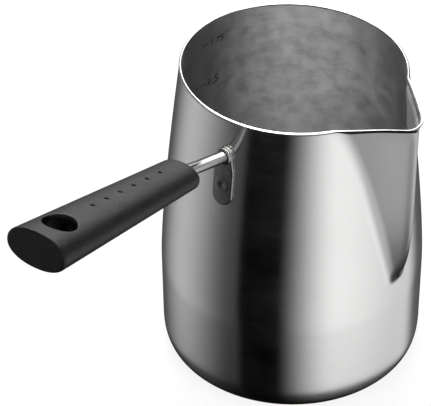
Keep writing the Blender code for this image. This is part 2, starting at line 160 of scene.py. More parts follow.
# Bracket plate and weld bead
PLATE_WIDTH = 11.2 * MM
PLATE_EAR_RADIUS = 4.2 * MM
PLATE_SHOULDER_DEPTH = 27.0 * MM
PLATE_FOOT_DEPTH = 44.0 * MM
PLATE_SHEET = 1.2 * MM
PLATE_EDGE_ROUND = 0.8 * MM
WELD_DEPTH = 33.2 * MM
WELD_RADIUS = 1.6 * MM
WELD_SINK = 0.35 * MM
WELD_RING = 0.12 * MM
BEAD_WIDTH = 1.0 * MM
BEAD_HEIGHT = 1.2 * MM

# Camera
CAMERA_TARGET = Vector((-30.2, -22.5, 79.7)) * MM
CAMERA_DISTANCE = 1.0259
CAMERA_AZIMUTH = math.radians(36.02)
CAMERA_ELEVATION = math.radians(38.11)
CAMERA_ROLL = math.radians(0.897)
CAMERA_LENS = 174.56


def smooth_max(a, b, blend):
    overlap = max(blend - abs(a - b), 0.0) / blend
    return max(a, b) + overlap * overlap * blend / 4.0


def smooth_min(a, b, blend):
    return -smooth_max(-a, -b, blend)


def clamp(value):
    return min(max(value, 0.0), 1.0)


def mix(a, b, share):
    return a + (b - a) * clamp(share)


def smooth_step(share):
    t = clamp(share)
    return t * t * (3.0 - 2.0 * t)


# ---------------------------------------------------------------- meshes

def make_piece(name, bm, materials, node=None):
    """A new piece that rides on the one body and, when node is given, stands for that CAD node."""
    mesh = bpy.data.meshes.new(name)
    bm.to_mesh(mesh)
    bm.free()
    mesh.shade_smooth()
    for material in materials:
        mesh.materials.append(material)
    piece = bpy.data.objects.new(name, mesh)
    bpy.context.scene.collection.objects.link(piece)
    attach(piece, "root")
    if node:
        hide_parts(node)
    return piece


def bridge(bm, here, there, material=0):
    """Quads between two closed rings of vertices."""
    count = len(here)
    for i in range(count):
        k = (i + 1) % count
        face = bm.faces.new((here[i], here[k], there[k], there[i]))
        face.material_index = material


def skin_rings(bm, rings, closed=False, capped=True):
    """Quads between successive rings, with flat caps or joined end to end."""
    loops = [[bm.verts.new(p) for p in ring] for ring in rings]
    for here, there in zip(loops, loops[1:]):
        bridge(bm, here, there)
    if closed:
        bridge(bm, loops[-1], loops[0])
    elif capped:
        bm.faces.new(list(reversed(loops[0])))
        bm.faces.new(loops[-1])
    bmesh.ops.recalc_face_normals(bm, faces=bm.faces)


# ---------------------------------------------------------------- pot shell

def wall_radius(depth):
    """Outer radius of the round wall at a depth below the rim, above the bottom corner."""
    above = 1.0 - clamp(depth / BELLY_DEPTH)
    eased = (math.hypot(above, BELLY_EASE) - BELLY_EASE) / (math.hypot(1.0, BELLY_EASE) - BELLY_EASE)
    return RIM_RADIUS + (BELLY_RADIUS - RIM_RADIUS) * (1.0 - eased**BELLY_CURVE)


def round_radius(angle, depth):
    """The wall's radius at an angle from the spout: the forming leaves the rim a little oval."""
    oval = RIM_OVAL * (1.0 - clamp(depth / BELLY_DEPTH)) ** OVAL_FADE
    return wall_radius(depth) + oval * math.cos(2.0 * (angle - OVAL_TURN))


def lip_flare(depth):
    """1 at the rim, easing to 0 where the turned-out lip ends."""
    return max(1.0 - depth / SPOUT_FLARE_DEPTH, 0.0) ** 2


def run_down(depth, start):
    """0 above a starting depth, rising to 1 at the spout's foot."""
    return max(depth - start, 0.0) / (SPOUT_FOOT_DEPTH - start)


def roll_radius(depth):
    """Radius of the surface that rolls the spout's ridge back into the wall at its foot."""
    clear = SPOUT_REACH + SPOUT_ROLL_CLEAR
    return clear - (clear - SPOUT_FOOT_REACH) * run_down(depth, SPOUT_ROLL_START) ** 2


def pinch(arc):
    """How far a flank sinks beside the ridge, at a distance from the ridge."""
    clear_of_ridge = 1.0 - math.exp(-((arc / PINCH_EDGE) ** 2))
    return PINCH_DEPTH * clear_of_ridge * math.exp(-((arc / PINCH_REACH) ** 2))


def wedge_radius(angle, depth, inset=0.0):
    """Radius of the V at an angle from the spout: two flanks that meet in a pinched ridge."""
    flare = lip_flare(depth)
    nose_blend = mix(RIDGE_BLEND, SPOUT_LIP_BLEND, flare)
    sharp_nose = SPOUT_REACH + SPOUT_NOSE_BLEND / 4.0
    sharp_nose -= mix(RIDGE_SETBACK, 0.0, flare) + SPOUT_RUN_BACK * run_down(depth, SPOUT_RUN_START) ** 2
    lip = SPOUT_FLARE * flare * math.exp(-((angle / SPOUT_FLARE_SPREAD) ** 4))
    sink = pinch(abs(angle) * SPOUT_REACH * PINCH_SPREAD) * (1.0 - flare) * smooth_step(depth / PINCH_TOP)
    opening = smooth_step(depth / SPOUT_HALF_ANGLE_DEPTH)

    def flank_radius(side):
        half_angle = mix(SPOUT_HALF_ANGLE_RIM, SPOUT_HALF_ANGLE_FOOT, opening) - side * SPOUT_SKEW
        flank = sharp_nose * math.sin(half_angle) + lip - inset - sink
        turn = math.pi / 2.0 - half_angle - side * angle
        return flank / math.cos(turn) if turn > 0.0 else flank * math.cos(turn) ** 4

    far = flank_radius(1.0)
    near = flank_radius(-1.0)
    across_nose = abs(angle) < math.pi / 2.0 - SPOUT_HALF_ANGLE_RIM
    wedge = smooth_min(far, near, nose_blend) if across_nose else min(far, near)
    return smooth_min(wedge, roll_radius(depth) - inset, SPOUT_ROLL_BLEND)


def outline_radius(angle, depth, inset=0.0):
    """Radius of the horizontal outline at an angle from the spout: a circle joined to a V."""
    blend = mix(CREASE_BLEND_RIM, CREASE_BLEND_FOOT, depth / CREASE_BLEND_DEPTH)
    return smooth_max(round_radius(angle, depth) - inset, wedge_radius(angle, depth, inset), blend)


def flank_shade_share(angle, depth):
    """0 on the round wall, rising to 1 on the pressed flanks of the spout: the mask for the painted shade
    there.
    """
    stand = wedge_radius(angle, depth) - round_radius(angle, depth)
    return smooth_step((stand + FLANK_SHADE_OUTSIDE) / FLANK_SHADE_FADE) * (1.0 - lip_flare(depth))


def rim_drop(angle):
    """How far the rim dips at the spout's nose."""
    return SPOUT_DIP * math.exp(-((angle / SPOUT_DIP_SPREAD) ** 2))


def wall_point(angle, depth, inset):
    """A point on the wall, where inset 0 is the outside and SHEET the inside."""
    radius = outline_radius(angle, depth, inset)
    z = HEIGHT - depth - rim_drop(angle) * max(1.0 - depth / SPOUT_STRAIGHT_DEPTH, 0.0)
    turn = angle + SPOUT_AZIMUTH
    return Vector((radius * math.cos(turn), radius * math.sin(turn), z))


def corner_point(turn, inset, sweep):
    """A point on the rounded bottom corner: sweep 0 at the wall, a quarter turn at the flat."""
    power = 2.0 / CORNER_SQUARENESS
    out = (CORNER_OUT - inset) * (1.0 - max(math.cos(sweep), 0.0) ** power)
    radius = BELLY_RADIUS - inset - out
    z = CORNER_UP - (CORNER_UP - inset) * math.sin(sweep) ** power
    return Vector((radius * math.cos(turn), radius * math.sin(turn), z))


def base_point(turn, radius, inset):
    """A point of the flat base, recessed inside its standing ring."""
    edge = BELLY_RADIUS - CORNER_OUT - BASE_RING
    lift = BASE_RECESS * smooth_step((edge - radius) / (4.0 * MM))
    return Vector((radius * math.cos(turn), radius * math.sin(turn), inset + lift))


SPOUT_COLUMNS = 280
ROUND_COLUMNS = 268
FLARE_ROWS = 18
WALL_ROWS = 90
CORNER_ROWS = 28
BASE_ROWS = 26
LIP_ROWS = 15


def shell_angles():
    """Angles from the spout: close together across the spout, wider round the rest."""
    fine = math.radians(46.0)
    angles = [-fine + 2.0 * fine * i / SPOUT_COLUMNS for i in range(SPOUT_COLUMNS)]
    rest = 2.0 * math.pi - 2.0 * fine
    angles += [fine + rest * i / ROUND_COLUMNS for i in range(ROUND_COLUMNS)]
    return [(a + math.pi) % (2.0 * math.pi) - math.pi for a in angles]


def shell_depths():
    """Depths of the rings: close together in the flared lip, even below it."""
    last = HEIGHT - CORNER_UP
    fine_start = LIP_BEAD * 1.9
    fine_end = SPOUT_FLARE_DEPTH * 1.2
    fine = [mix(fine_start, fine_end, i / FLARE_ROWS) for i in range(FLARE_ROWS)]
    return fine + [fine_end + (last - fine_end) * i / WALL_ROWS for i in range(WALL_ROWS + 1)]


def shell_column(angle, inset):
    """The points down one side of the sheet at an angle, from below the lip to the base centre."""
    turn = angle + SPOUT_AZIMUTH
    points = [wall_point(angle, depth, inset) for depth in shell_depths()]
    for i in range(1, CORNER_ROWS + 1):
        points.append(corner_point(turn, inset, math.pi / 2.0 * i / CORNER_ROWS))
    flat = BELLY_RADIUS - CORNER_OUT
    points += [base_point(turn, flat * (1.0 - i / BASE_ROWS), inset) for i in range(1, BASE_ROWS)]
    return points


def lip_points(angle):
    """The burnished bead on the edge of the sheet, from the inside to the outside."""
    points = []
    for i in range(LIP_ROWS):
        a = math.radians(-40.0 + 260.0 * i / (LIP_ROWS - 1))
        inset = SHEET / 2.0 + LIP_BEAD * math.cos(a)
        points.append(wall_point(angle, LIP_BEAD * (1.0 - math.sin(a)), inset))
    return points


def build_shell(outside, inside, lip):
    """The sheet as one closed skin: up the inside, over the lip, down the outside and across the base."""
    bm = bmesh.new()
    columns = []
    for angle in shell_angles():
        inner = shell_column(angle, SHEET)
        outer = shell_column(angle, 0.0)
        columns.append([bm.verts.new(p) for p in list(reversed(inner)) + lip_points(angle) + outer])
    inner_rows = len(shell_column(0.0, SHEET))
    outer_start = inner_rows + LIP_ROWS
    for i, here in enumerate(columns):
        there = columns[(i + 1) % len(columns)]
        for j in range(len(here) - 1):
            face = bm.faces.new((here[j], here[j + 1], there[j + 1], there[j]))
            if j < inner_rows - 1:
                face.material_index = 1
            elif j < outer_start + 1:
                face.material_index = 2
    for end, inset, material in ((0, SHEET, 1), (-1, 0.0, 0)):
        centre = bm.verts.new(base_point(0.0, 0.0, inset))
        edge = [column[end] for column in columns]
        for i in range(len(edge)):
            face = bm.faces.new((edge[i], edge[(i + 1) % len(edge)], centre))
            face.material_index = material
    bmesh.ops.recalc_face_normals(bm, faces=bm.faces)
    shell = make_piece("pot_shell", bm, (outside, inside, lip), "pot_body")
    # The "pressed" attribute carries the mask of the painted shade on the spout's flanks.
    pressed = shell.data.attributes.new("pressed", "FLOAT", "POINT")
    rows = len(columns[0])
    for i, angle in enumerate(shell_angles()):
        for j, depth in enumerate(shell_depths()):
            pressed.data[i * rows + outer_start + j].value = flank_shade_share(angle, depth)
    return shell


# ---------------------------------------------------------------- litre marks

def litres_below(depth):
    """Volume held below a depth, from the round wall alone."""
    steps = 40
    slab = (HEIGHT - depth) / steps
    litres = 0.0
    for i in range(steps):
        level = HEIGHT - slab * (i + 0.5)
        litres += math.pi * (wall_radius(level) - SHEET) ** 2 * slab * 1000.0
    return litres


def depth_of(litres):
    """Depth below the rim of a fill level, by halving."""
    high, low = 0.0, HEIGHT
    for _ in range(30):
        middle = (high + low) / 2.0
        if litres_below(middle) > litres:
            high = middle
        else:
            low = middle
    return high


MARK_AZIMUTH = math.radians(172.0)
MARK_PROUD = 0.08 * MM
MARK_THICK = 0.05 * MM
MARK_STEP_LITRES = 0.25
MARK_COUNT = 7
MARK_LINE = 0.5 * MM
LONG_MARK = (7.0 * MM, 6.5 * MM)
SHORT_MARK = (4.0 * MM, 5.2 * MM)
NUMERAL_ACROSS = 1.6 * MM
NUMERAL_DROP = 1.9 * MM


def mark_point(across, up, lift, depth):
    """A point on the inside wall beside the scale, across to the right as seen from the axis."""
    level = depth - up
    radius = round_radius(MARK_AZIMUTH - SPOUT_AZIMUTH, level) - SHEET - lift
    turn = MARK_AZIMUTH - across / radius
    return Vector((radius * math.cos(turn), radius * math.sin(turn), HEIGHT - level))


def add_mark_line(bm, depth, start, end, height):
    """One thin line of the scale, as a closed bar that follows the wall."""
    steps = 16
    rings = []
    for i in range(steps + 1):
        across = mix(start, end, i / steps)
        ring = []
        for up, lift in ((0, 0), (1, 0), (1, 1), (0, 1)):
            ring.append(mark_point(across, up * height, MARK_PROUD - MARK_THICK * (1 - lift), depth))
        rings.append([bm.verts.new(p) for p in ring])
    for here, there in zip(rings, rings[1:]):
        bridge(bm, here, there)
    bm.faces.new(list(reversed(rings[0])))
    bm.faces.new(rings[-1])


def add_mark_text(bm, text, size, across, depth):
    """A numeral laid on the wall, left edge at across."""
    curve = bpy.data.curves.new("numeral", "FONT")
    curve.body = text
    curve.size = size
    curve.resolution_u = 3
    curve.extrude = 0.5
    holder = bpy.data.objects.new("numeral", curve)
    bpy.context.scene.collection.objects.link(holder)
    evaluated = holder.evaluated_get(bpy.context.evaluated_depsgraph_get())
    mesh = evaluated.to_mesh()
    vertices = []
    for vertex in mesh.vertices:
        lift = MARK_PROUD - MARK_THICK * (0.5 - vertex.co.z)
        vertices.append(bm.verts.new(mark_point(across + vertex.co.x, vertex.co.y, lift, depth)))
    for polygon in mesh.polygons:
        bm.faces.new([vertices[i] for i in polygon.vertices])
    evaluated.to_mesh_clear()
    bpy.data.objects.remove(holder, do_unlink=True)
    bpy.data.curves.remove(curve)


def build_marks(material):
    """The scale inside: a line and a numeral at each quarter litre, larger at each half."""
    bm = bmesh.new()
    for step in range(1, MARK_COUNT + 1):
        litres = step * MARK_STEP_LITRES
        depth = depth_of(litres)
        line, numeral = LONG_MARK if step % 2 == 0 else SHORT_MARK
        add_mark_line(bm, depth, -line, 0.0, MARK_LINE)
        add_mark_text(bm, f"{litres:g}", numeral, NUMERAL_ACROSS, depth + NUMERAL_DROP)
    bmesh.ops.remove_doubles(bm, verts=bm.verts, dist=0.001 * MM)
    bmesh.ops.recalc_face_normals(bm, faces=bm.faces)
    return make_piece("litre_marks", bm, (material,))


# ---------------------------------------------------------------- handle line

ACROSS = Vector((1.0, 0.0, 0.0))
HANDLE_ANGLE = -math.pi / 2.0 - SPOUT_AZIMUTH


def side_point(out, depth):
    """A point in the handle's upright middle plane."""
    return Vector((0.0, -out, HEIGHT - depth))


def direction(rise):
    """The way out along the handle at a given rise."""
    return Vector((0.0, -math.cos(rise), math.sin(rise)))


GRIP_NEAR = side_point(GRIP_NEAR_OUT, GRIP_NEAR_DEPTH)
GRIP_DIRECTION = direction(GRIP_RISE)
GRIP_UP = Vector((0.0, math.sin(GRIP_RISE), math.cos(GRIP_RISE)))


def wall_tilt(depth):
    """Angle by which the wall's outward normal leans up on the handle side."""
    step = 0.5 * MM
    run = round_radius(HANDLE_ANGLE, depth + step) - round_radius(HANDLE_ANGLE, depth - step)
    return math.atan2(run, 2.0 * step)


def neck_root():
    """Centre of the rod's foot, one gap off the plate's face."""
    face = side_point(round_radius(HANDLE_ANGLE, NECK_ROOT_DEPTH), NECK_ROOT_DEPTH)
    return face + direction(wall_tilt(NECK_ROOT_DEPTH)) * (GAP + PLATE_SHEET + GAP)


def neck_knee():
    """Where the rod's two straight runs cross, just outside the grip."""
    return GRIP_NEAR - GRIP_DIRECTION * NECK_KNEE_OUT


def neck_direction():
    """The way along the rod from its foot to the knee."""
    return (neck_knee() - neck_root()).normalized()


def ring_on_plane(centre, along, normal, radius, count):
    """A circle round the line along, slid along that line on to the plane through centre."""
    up = ACROSS.cross(along).normalized()
    points = []
    for i in range(count):
        a = 2.0 * math.pi * i / count
        offset = ACROSS * (radius * math.cos(a)) + up * (radius * math.sin(a))
        points.append(centre + offset - along * (offset.dot(normal) / along.dot(normal)))
    return points


def build_neck_rod(material):
    """The rod: straight from the plate, a soft knee, then straight into the grip."""
    bm = bmesh.new()
    count = 72
    root = neck_root()
    first = neck_direction()
    knee = neck_knee()
    start = knee - first * NECK_KNEE_LENGTH
    end = knee + GRIP_DIRECTION * NECK_KNEE_LENGTH
    normal = direction(wall_tilt(NECK_ROOT_DEPTH))
    rings = [ring_on_plane(root, first, normal, NECK_RADIUS, count)]
    for i in range(1, 13):
        rings.append(ring_on_plane(root.lerp(start, i / 12), first, first, NECK_RADIUS, count))
    for i in range(1, 13):
        t = i / 12
        centre = start.lerp(knee, t).lerp(knee.lerp(end, t), t)
        way = first.lerp(GRIP_DIRECTION, t).normalized()
        rings.append(ring_on_plane(centre, way, way, NECK_RADIUS, count))
    tail = GRIP_NEAR + GRIP_DIRECTION * NECK_IN_GRIP
    for back, radius in ((0.5, NECK_RADIUS), (0.1, NECK_RADIUS - 0.12 * MM), (0.0, NECK_RADIUS - 0.4 * MM)):
        centre = tail - GRIP_DIRECTION * back * MM
        rings.append(ring_on_plane(centre, GRIP_DIRECTION, GRIP_DIRECTION, radius, count))
    skin_rings(bm, rings)
    return make_piece("neck_rod_polished", bm, (material,), "neck_rod")


def build_neck_weld(material):
    """A fillet bead round the rod's foot, with the ripples that the weld pool leaves."""
    bm = bmesh.new()
    count = 144
    ripples = 26
    along = neck_direction()
    normal = direction(wall_tilt(NECK_ROOT_DEPTH))
    root = neck_root()
    inner = NECK_RADIUS + GAP * 0.4
    section = 14
    rings = []
    for i in range(section + 1):
        a = math.pi / 2.0 * i / section
        out = BEAD_WIDTH * math.cos(a) ** 1.2
        rise = BEAD_HEIGHT * math.sin(a) ** 1.2
        ring = ring_on_plane(root + along * rise, along, normal, inner + out, count)
        for k, point in enumerate(ring):
            turn = 2.0 * math.pi * k / count
            wave = 0.5 + 0.5 * math.cos(ripples * turn + 1.4 * math.sin(a))
            wave += 0.6 * noise.noise(point / (1.5 * MM))
            middle = root + along * rise
            ring[k] = point + (point - middle).normalized() * (0.10 * MM * wave * math.sin(2.0 * a))
        rings.append(ring)
    rings.append(ring_on_plane(root, along, normal, inner, count))
    skin_rings(bm, rings, closed=True)
    return make_piece("neck_weld_bead", bm, (material,), "neck_weld")


# ---------------------------------------------------------------- bracket plate

def plate_point(across, depth, lift):
    """A point over the round wall on the handle side: along the wall, down it and off it."""
    turn = -math.pi / 2.0 + across / wall_radius(depth)
    radius = round_radius(turn - SPOUT_AZIMUTH, depth) + lift
    return Vector((radius * math.cos(turn), radius * math.sin(turn), HEIGHT - depth))


def plate_outline():
    """The plate's edge as (across, depth) pairs: round ear, shoulders, straight sides, round foot."""
    half = PLATE_WIDTH / 2.0
    foot = PLATE_FOOT_DEPTH - half
    right = []
    for i in range(25):
        a = math.pi / 2.0 * (1.0 - i / 24)
        right.append((PLATE_EAR_RADIUS * math.cos(a), NECK_ROOT_DEPTH - PLATE_EAR_RADIUS * math.sin(a)))
    for i in range(1, 17):
        share = i / 16
        across = mix(PLATE_EAR_RADIUS, half, smooth_step(share))
        right.append((across, mix(NECK_ROOT_DEPTH, PLATE_SHOULDER_DEPTH, share)))
    for i in range(1, 21):
        right.append((half, mix(PLATE_SHOULDER_DEPTH, foot, i / 20)))
    for i in range(1, 33):
        a = math.pi / 2.0 * i / 32
        right.append((half * math.cos(a), foot + half * math.sin(a)))
    left = [(-across, depth) for across, depth in reversed(right[1:-1])]
    return right + left


def weld_mark(across, depth):
    """Height of the plate's face round the spot weld: a pressed pit with a faint raised ring."""
    off = math.hypot(across, depth - WELD_DEPTH)
    pit = math.exp(-((off / (0.55 * WELD_RADIUS)) ** 2))
    ring = math.exp(-(((off - 1.7 * WELD_RADIUS) / (0.45 * WELD_RADIUS)) ** 2))
    return WELD_RING * ring - WELD_SINK * pit


def build_bracket(material):
    """The plate: rounded from its edge, sunk at the spot weld and flat on the wall side."""
    bm = bmesh.new()
    outline = plate_outline()
    spine_top = NECK_ROOT_DEPTH
    spine_foot = PLATE_FOOT_DEPTH - PLATE_WIDTH / 2.0
    round_steps = 7
    turns = [math.pi / 2.0 * i / round_steps for i in range(round_steps + 1)]
    insets = [PLATE_EDGE_ROUND * (1.0 - math.cos(turn)) for turn in turns]
    inner_steps = 22
    rows = [[plate_point(across, depth, GAP) for across, depth in outline]]
    for k in range(round_steps + inner_steps + 1):
        row = []
        for across, depth in outline:
            spine = min(max(depth, spine_top), spine_foot)
            reach = math.hypot(across, depth - spine)
            if k <= round_steps:
                inset = insets[k]
                rise = max(PLATE_EDGE_ROUND**2 - (PLATE_EDGE_ROUND - inset) ** 2, 0.0)
                sag = PLATE_EDGE_ROUND - math.sqrt(rise)
            else:
                inset = mix(insets[-1], reach * 0.999, (k - round_steps) / inner_steps)
                sag = 0.0
            keep = 1.0 - inset / reach
            x, d = across * keep, mix(spine, depth, keep)
            row.append(plate_point(x, d, GAP + PLATE_SHEET - sag + weld_mark(x, d)))
        rows.append(row)
    loops = [[bm.verts.new(p) for p in row] for row in rows]
    for here, there in zip(loops, loops[1:]):
        bridge(bm, here, there)
    back = [[plate_point(across * s, mix(min(max(depth, spine_top), spine_foot), depth, s), GAP)
             for across, depth in outline] for s in (0.66, 0.33, 0.001)]
    previous = loops[0]
    for row in back:
        loop = [bm.verts.new(p) for p in row]
        bridge(bm, loop, previous)
        previous = loop
    bmesh.ops.remove_doubles(bm, verts=bm.verts, dist=0.012 * MM)
    bmesh.ops.holes_fill(bm, edges=bm.edges, sides=400)
    bmesh.ops.recalc_face_normals(bm, faces=bm.faces)
    return make_piece("bracket_plate", bm, (material,), "handle_bracket")


# ---------------------------------------------------------------- grip

def grip_half(share):
    """Half width and half thickness of the grip at a share of its length."""
    return tuple(mix(near, far, share) for near, far in zip(GRIP_NEAR_HALF, GRIP_FAR_HALF))


def grip_point(along, across, up):
    """A point by its distances along, across and above the grip's axis."""
    return GRIP_NEAR + GRIP_DIRECTION * along + ACROSS * across + GRIP_UP * up


def grip_section(along, shrink, count):
    """An oval a little squarer than an ellipse, shrunk towards the ends."""
    half_width, half_thick = grip_half(along / GRIP_LENGTH)
    power = 2.0 / GRIP_SQUARENESS
    points = []
    for i in range(count):
        a = 2.0 * math.pi * i / count
        c, s = math.cos(a), math.sin(a)
        x = math.copysign(abs(c) ** power, c) * (half_width - shrink)
        y = math.copysign(abs(s) ** power, s) * (half_thick - shrink)
        points.append(grip_point(along, x, y))
    return points


def grip_stations():
    """Places along the grip and shrinks of its sections, rounded at both ends."""
    steps = 10
    near, far = [], []
    for i in range(steps + 1):
        a = math.pi / 2.0 * i / steps
        along, shrink = 1.0 - math.sin(a), 1.0 - math.cos(a)
        near.append((GRIP_NEAR_ROUND * along, GRIP_NEAR_ROUND * shrink))
        far.append((GRIP_LENGTH - GRIP_FAR_ROUND * along, GRIP_FAR_ROUND * shrink))
    middle = [(GRIP_LENGTH * i / 24, 0.0) for i in range(1, 24)]
    return list(reversed(near)) + middle + far


def cut(target, name, bm):
    """Cuts a closed solid out of the target and applies the cut."""
    bmesh.ops.recalc_face_normals(bm, faces=bm.faces)
    mesh = bpy.data.meshes.new(name)
    bm.to_mesh(mesh)
    bm.free()
    cutter = bpy.data.objects.new(name, mesh)
    bpy.context.scene.collection.objects.link(cutter)
    modifier = target.modifiers.new(name, "BOOLEAN")
    modifier.operation = "DIFFERENCE"
    modifier.solver = "EXACT"
    modifier.object = cutter
    apply_modifiers(target)
    bpy.data.objects.remove(cutter, do_unlink=True)


def apply_modifiers(target):
    """Replaces the target's mesh by the shape its modifiers give."""
    bpy.context.view_layer.update()
    evaluated = target.evaluated_get(bpy.context.evaluated_depsgraph_get())
    mesh = bpy.data.meshes.new_from_object(evaluated)
    target.modifiers.clear()
    target.data = mesh


def bar(start, end, radius, count=48):
    """A round bar between two distances along the grip axis."""
    bm = bmesh.new()
    rings = []
    for along in (start, end):
        centre = GRIP_NEAR + GRIP_DIRECTION * along
        rings.append(ring_on_plane(centre, GRIP_DIRECTION, GRIP_DIRECTION, radius, count))
    skin_rings(bm, rings)
    return bm


def hang_bar():
    """The hanging hole: an oval bar square to the grip, flared where it meets the two faces."""
    bm = bmesh.new()
    middle = GRIP_LENGTH - HANG_FROM_END
    thick = grip_half(middle / GRIP_LENGTH)[1]
    below = [(-up, flare) for up, flare in HANG_FLARE]
    rings = []
    for up, flare in below + list(reversed(HANG_FLARE)):
        ring = []
        for i in range(72):
            a = 2.0 * math.pi * i / 72
            along = middle + (HANG_HALF_ALONG + flare) * math.cos(a)
            across = (HANG_HALF_ACROSS + flare) * math.sin(a)
            ring.append(grip_point(along, across, up * thick / HANG_FLARE_THICK))
        rings.append(ring)
    skin_rings(bm, rings)
    return bm


def build_grip(material):
    """The moulded grip: cut from its solid, then remeshed and smoothed so that every edge is a fillet."""
    bm = bmesh.new()
    skin_rings(bm, [grip_section(along, shrink, 120) for along, shrink in grip_stations()])
    grip = make_piece("grip_moulding", bm, (material,), "handle_grip")
    wall = GRIP_LENGTH - HANG_FROM_END - HANG_HALF_ALONG
    cut(grip, "hang", hang_bar())
    cut(grip, "socket", bar(-5.0 * MM, NECK_IN_GRIP + GAP, NECK_RADIUS + GAP))
    cut(grip, "bore", bar(NECK_IN_GRIP - 1.0 * MM, wall - POCKET_DEPTH + 1.0 * MM, SCREW_BORE))
    cut(grip, "pocket", bar(wall - POCKET_DEPTH, wall + 4.0 * MM, POCKET_RADIUS))
    remesh = grip.modifiers.new("remesh", "REMESH")
    remesh.mode = "VOXEL"
    remesh.voxel_size = GRIP_VOXEL
    soften = grip.modifiers.new("soften", "SMOOTH")
    soften.factor = 0.5
    soften.iterations = 5
    apply_modifiers(grip)
    press_dimples(grip.data)
    grip.data.shade_smooth()
    grip.data.materials.clear()
    grip.data.materials.append(material)
    return grip


def press_dimples(mesh):
    """Presses the row of thumb dimples into the top face, each with a soft raised edge."""
    crests = []
    for i in range(DIMPLE_COUNT):
        along = DIMPLE_FIRST + DIMPLE_PITCH * i
        crests.append(grip_point(along, 0.0, grip_half(along / GRIP_LENGTH)[1]))
    reach = 2.2 * DIMPLE_RADIUS
    for vertex in mesh.vertices:
        for crest in crests:
            off = (vertex.co - crest).length
            if off < reach:
                pit = math.exp(-((off / (0.75 * DIMPLE_RADIUS)) ** 4))
                edge = math.exp(-(((off - 1.3 * DIMPLE_RADIUS) / (0.4 * DIMPLE_RADIUS)) ** 2))
                vertex.co = vertex.co - GRIP_UP * (DIMPLE_DEPTH * pit - DIMPLE_EDGE * edge)


# ---------------------------------------------------------------- node helpers

class Nodes:
    """Short calls for building a node tree."""

    def __init__(self, tree):
        self.tree = tree

    def add(self, kind, **settings):
        node = self.tree.nodes.new(kind)
        for key, value in settings.items():
            setattr(node, key, value)
        return node

    def link(self, source, target):
        self.tree.links.new(source, target)

    def plug(self, value, socket):
        """Links a socket, or sets a plain number, on an input."""
        if isinstance(value, (int, float, tuple)):
            socket.default_value = value
        else:
            self.link(value, socket)

    def math(self, operation, a, b=0.0, limit=False):
        node = self.add("ShaderNodeMath", operation=operation, use_clamp=limit)
        self.plug(a, node.inputs[0])
        self.plug(b, node.inputs[1])
        return node.outputs[0]

    def ranged(self, value, low, high, to_low, to_high, smooth=False):
        node = self.add("ShaderNodeMapRange", interpolation_type="SMOOTHSTEP" if smooth else "LINEAR")
        self.plug(value, node.inputs["Value"])
        names = ("From Min", "From Max", "To Min", "To Max")
        for name, number in zip(names, (low, high, to_low, to_high)):
            self.plug(number, node.inputs[name])
        return node.outputs["Result"]

    def ramp(self, value, stops, interpolation="LINEAR"):
        """A colour ramp from (position, grey) pairs."""
        node = self.add("ShaderNodeValToRGB")
        node.color_ramp.interpolation = interpolation
        elements = node.color_ramp.elements
        while len(elements) < len(stops):
            elements.new(0.5)
        for element, (position, grey) in zip(elements, stops):
            element.position = position
            element.color = (grey, grey, grey, 1.0)
        self.plug(value, node.inputs["Fac"])
        return node.outputs["Color"]

    def noise(self, vector, scale, detail=2.0, roughness=0.5):
        node = self.add("ShaderNodeTexNoise")
        self.plug(vector, node.inputs["Vector"])
        node.inputs["Scale"].default_value = scale
        node.inputs["Detail"].default_value = detail
        node.inputs["Roughness"].default_value = roughness
        return node.outputs["Fac"]

    def scaled(self, vector, scale):
        node = self.add("ShaderNodeVectorMath", operation="MULTIPLY")
        self.plug(vector, node.inputs[0])
        node.inputs[1].default_value = scale
        return node.outputs[0]

    def place(self):
        return self.add("ShaderNodeTexCoord").outputs["Object"]

    def bump(self, height, distance, strength=1.0, normal=None):
        node = self.add("ShaderNodeBump")
        self.plug(height, node.inputs["Height"])
        node.inputs["Distance"].default_value = distance
        node.inputs["Strength"].default_value = strength
        if normal is not None:
            self.link(normal, node.inputs["Normal"])
        return node.outputs["Normal"]

    def turned_place(self, around, across):
        """Coordinates that are stretched round the pot axis, so that grain runs in rings."""
        place = self.add("ShaderNodeSeparateXYZ")
        self.link(self.place(), place.inputs[0])
        x, y, z = place.outputs
        squares = self.math("ADD", self.math("MULTIPLY", x, x), self.math("MULTIPLY", y, y))
        radius = self.math("SQRT", squares)
        safe = self.math("MAXIMUM", radius, 0.001)
        vector = self.add("ShaderNodeCombineXYZ")
        self.link(self.math("MULTIPLY", self.math("DIVIDE", x, safe), around), vector.inputs[0])
        self.link(self.math("MULTIPLY", self.math("DIVIDE", y, safe), around), vector.inputs[1])
        self.link(self.math("MULTIPLY", self.math("ADD", z, radius), across), vector.inputs[2])
        return vector.outputs[0]

    def tinted(self, tone, tint, socket):
        """Puts a grey tone with a slight tint on a colour input."""
        colour = self.add("ShaderNodeCombineColor")
        for channel, share in zip(colour.inputs, tint):
            self.link(self.math("MULTIPLY", tone, share), channel)
        self.link(colour.outputs[0], socket)


def new_material(name):
    material = bpy.data.materials.new(name)
    material.use_nodes = True
    shader = material.node_tree.nodes["Principled BSDF"]
    return material, shader, Nodes(material.node_tree)


def ring_grain(n, shader, amount):
    """Grain that runs round the pot axis and spreads the highlights across itself."""
    shader.inputs["Anisotropic"].default_value = amount
    shader.inputs["Anisotropic Rotation"].default_value = 0.25
    tangent = n.add("ShaderNodeTangent", direction_type="RADIAL", axis="Z")
    n.link(tangent.outputs[0], shader.inputs["Tangent"])


# ---------------------------------------------------------------- finishes

OUTSIDE_TONE = 0.655
# Painted shade: the share by which the steel's colour is darkened on the spout's flanks, where their
# reflections are darker.
FLANK_PAINTED_SHADE = 0.45


